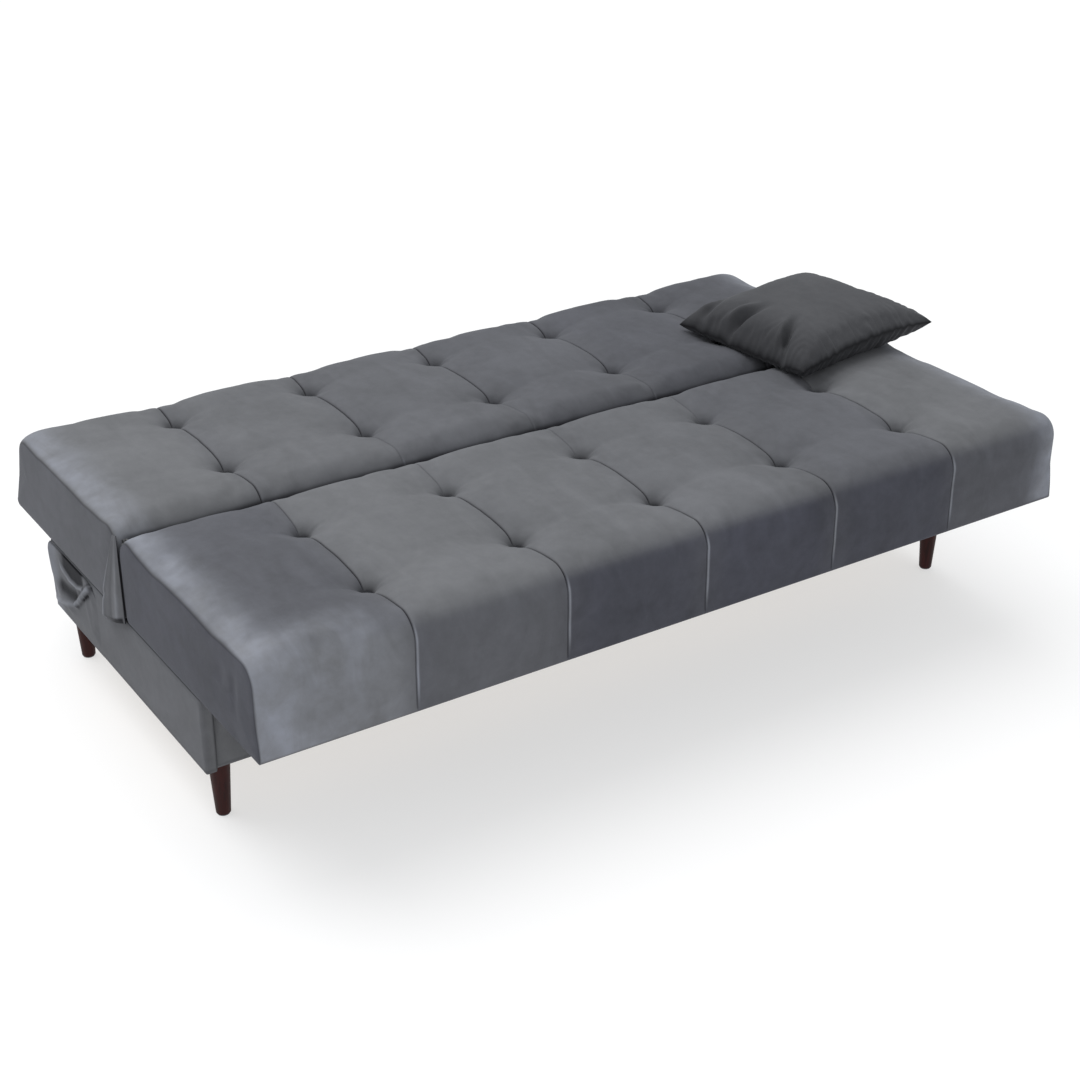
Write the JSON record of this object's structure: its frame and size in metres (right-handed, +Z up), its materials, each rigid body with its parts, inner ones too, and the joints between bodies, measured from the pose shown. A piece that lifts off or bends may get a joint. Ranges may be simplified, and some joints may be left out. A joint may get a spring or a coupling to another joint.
{
  "type": "futon sofa bed",
  "caption": "Click-clack sofa bed unfolded flat: two tufted velvet slabs hinged over a low storage chest on short turned legs, with a loose throw pillow.",
  "frame": {"origin": "on the floor, under the middle of the whole object with its pillow, which is 26.1 mm to the right of the bed's own middle", "axes": "+X along the length towards the pillow's end, -Y towards the front edge of the seat, +Z up"},
  "size_m": [1.8622, 1.14, 0.562],
  "materials": {
    "upholstery": "matte",
    "pillow_fabric": "satin",
    "foam": "matte",
    "fibre": "matte",
    "webbing": "matte",
    "dust_cloth": "matte",
    "frame_wood": "matte",
    "chest_board": "matte",
    "leg_wood": "satin",
    "black_steel": "satin",
    "zinc_steel": "satin",
    "nylon": "matte",
    "rubber": "matte"
  },
  "bodies": {
    "chest": {"chest_fabric": "upholstery", "chest_gather_left": "upholstery", "chest_gather_right": "upholstery", "chest_side_left": "chest_board", "chest_side_right": "chest_board", "chest_front": "chest_board", "chest_rear": "chest_board", "chest_floor": "chest_board", "chest_floor_battens": "frame_wood", "chest_corner_blocks": "frame_wood", "chest_ledges": "frame_wood", "leg_front_left": "leg_wood", "leg_front_right": "leg_wood", "leg_rear_left": "leg_wood", "leg_rear_right": "leg_wood", "leg_glides": "nylon", "leg_plates": "zinc_steel", "leg_bolts": "zinc_steel", "lift_hinge_fixed_leaves": "zinc_steel", "lift_hinge_pins": "zinc_steel"},
    "lift_frame": {"lift_side_tube_left": "black_steel", "lift_side_tube_right": "black_steel", "lift_front_tube": "black_steel", "lift_rear_tube": "black_steel", "lift_rest_pads": "rubber", "lift_hinge_moving_leaves": "zinc_steel", "slide_channels": "black_steel"},
    "seat": {"seat_cover": "upholstery", "seat_buttons": "upholstery", "seat_foam": "foam", "seat_webbing": "webbing", "seat_dust_cloth": "dust_cloth", "seat_front_rail": "frame_wood", "seat_rear_rail": "frame_wood", "seat_end_rail_left": "frame_wood", "seat_end_rail_right": "frame_wood", "seat_cross_rails": "frame_wood", "slide_runners": "black_steel", "slide_shoes": "nylon", "hinge_seat_arm_left": "black_steel", "hinge_seat_arm_right": "black_steel", "hinge_pins": "zinc_steel", "hinge_pawls": "zinc_steel"},
    "backrest": {"back_cover": "upholstery", "back_buttons": "upholstery", "back_foam": "foam", "back_webbing": "webbing", "back_dust_cloth": "dust_cloth", "back_front_rail": "frame_wood", "back_rear_rail": "frame_wood", "back_end_rail_left": "frame_wood", "back_end_rail_right": "frame_wood", "back_cross_rails": "frame_wood", "hinge_back_arm_left": "black_steel", "hinge_back_arm_right": "black_steel", "hinge_cover_left": "upholstery", "hinge_cover_right": "upholstery"},
    "pillow": {"pillow_cover": "pillow_fabric", "pillow_filling": "fibre"}
  },
  "joints": [
    {"name": "storage_lift", "type": "hinge", "parent": "chest", "child": "lift_frame", "pos_m": [0, 0.389, 0.262], "axis": [-1, 0, 0], "range_deg": [0, 35]},
    {"name": "seat_travel", "type": "slide", "parent": "lift_frame", "child": "seat", "axis": [0, 1, 0], "range_m": [0, 0.23]},
    {"name": "recline", "type": "hinge", "parent": "seat", "child": "backrest", "pos_m": [0, -0.009, 0.42], "axis": [1, 0, 0], "range_deg": [0, 75]},
    {"name": "pillow_tilt", "type": "hinge", "parent": "seat", "child": "pillow", "pos_m": [0.717, -0.167, 0.474], "axis": [1, 0, 0], "range_deg": [0, 62]}
  ],
  "couplings": [
    {"joint": "seat_travel", "follows": "recline", "m_per_rad": 0.1756},
    {"joint": "pillow_tilt", "follows": "recline", "ratio": 0.82}
  ]
}
